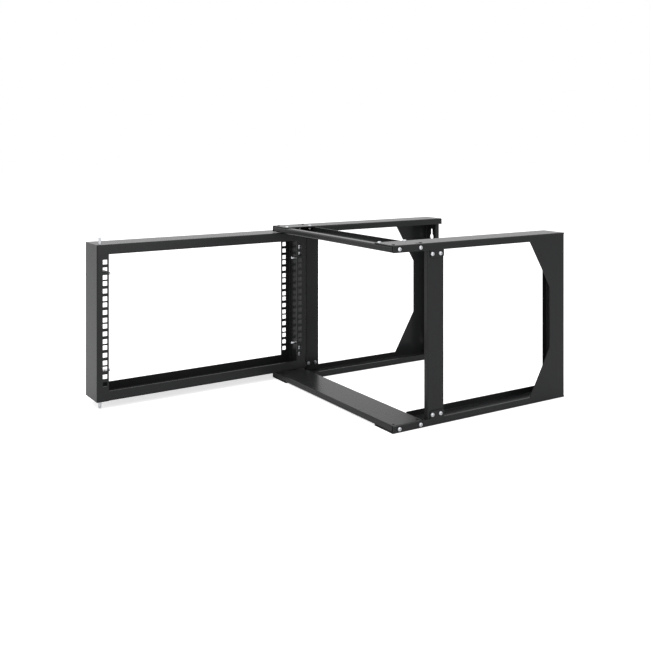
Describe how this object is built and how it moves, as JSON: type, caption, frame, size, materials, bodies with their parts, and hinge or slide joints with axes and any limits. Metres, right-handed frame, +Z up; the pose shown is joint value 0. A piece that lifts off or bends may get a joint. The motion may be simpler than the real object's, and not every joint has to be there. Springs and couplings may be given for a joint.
{
  "type": "wall mount open frame rack",
  "caption": "Open wall mount equipment rack in folded sheet steel: a deep base with windowed sides and a swing-out front frame with square holes, held by sprung L bolts.",
  "frame": {"origin": "centre of the pattern of the four wall keyholes, on the wall plane", "axes": "+X to the right seen from the front, +Y towards the wall, +Z up"},
  "size_m": [0.5601, 0.8775, 0.3615],
  "materials": {
    "powder_coat": "fine matt texture powder coat, near black",
    "zinc_plate": "bright zinc plate",
    "spring_steel": "drawn wire, satin"
  },
  "bodies": {
    "base": {"left_side_frame": "powder_coat", "right_side_frame": "powder_coat", "left_post": "powder_coat", "right_post": "powder_coat", "top_crossbar": "powder_coat", "bottom_crossbar": "powder_coat", "crossbar_screws": "zinc_plate", "crossbar_nuts": "zinc_plate", "post_screws": "zinc_plate", "post_nuts": "zinc_plate", "flange_screws": "zinc_plate", "flange_nuts": "zinc_plate"},
    "swing_frame": {"swing_top_rail": "powder_coat", "swing_bottom_rail": "powder_coat", "swing_hinge_stile": "powder_coat", "swing_latch_stile": "powder_coat", "hinge_top_guide": "powder_coat", "hinge_bottom_guide": "powder_coat", "latch_top_guide": "powder_coat", "latch_bottom_guide": "powder_coat", "hinge_top_spring": "spring_steel", "hinge_bottom_spring": "spring_steel", "latch_top_spring": "spring_steel", "latch_bottom_spring": "spring_steel"},
    "hinge_top_bolt_set": {"hinge_top_bolt": "zinc_plate", "hinge_top_clip": "spring_steel"},
    "hinge_bottom_bolt_set": {"hinge_bottom_bolt": "zinc_plate", "hinge_bottom_clip": "spring_steel"},
    "latch_top_bolt_set": {"latch_top_bolt": "zinc_plate", "latch_top_clip": "spring_steel"},
    "latch_bottom_bolt_set": {"latch_bottom_bolt": "zinc_plate", "latch_bottom_clip": "spring_steel"}
  },
  "joints": [
    {"name": "swing", "type": "hinge", "parent": "base", "child": "swing_frame", "pos_m": [-0.2395, -0.387, 0.0109], "axis": [0, 0, 1], "range_deg": [-28, 88.5]},
    {"name": "hinge_top_pull", "type": "slide", "parent": "swing_frame", "child": "hinge_top_bolt_set", "axis": [0, 0, -1], "range_m": [0, 0.017], "stiffness_N_per_m": 400, "springref_m": -0.01, "deforming": ["hinge_top_spring"]},
    {"name": "hinge_bottom_pull", "type": "slide", "parent": "swing_frame", "child": "hinge_bottom_bolt_set", "axis": [0, 0, 1], "range_m": [0, 0.017], "stiffness_N_per_m": 400, "springref_m": -0.01, "deforming": ["hinge_bottom_spring"]},
    {"name": "latch_top_pull", "type": "slide", "parent": "swing_frame", "child": "latch_top_bolt_set", "axis": [0, 0, -1], "range_m": [0, 0.017], "stiffness_N_per_m": 400, "springref_m": -0.01, "deforming": ["latch_top_spring"]},
    {"name": "latch_bottom_pull", "type": "slide", "parent": "swing_frame", "child": "latch_bottom_bolt_set", "axis": [0, 0, 1], "range_m": [0, 0.017], "stiffness_N_per_m": 400, "springref_m": -0.01, "deforming": ["latch_bottom_spring"]}
  ]
}
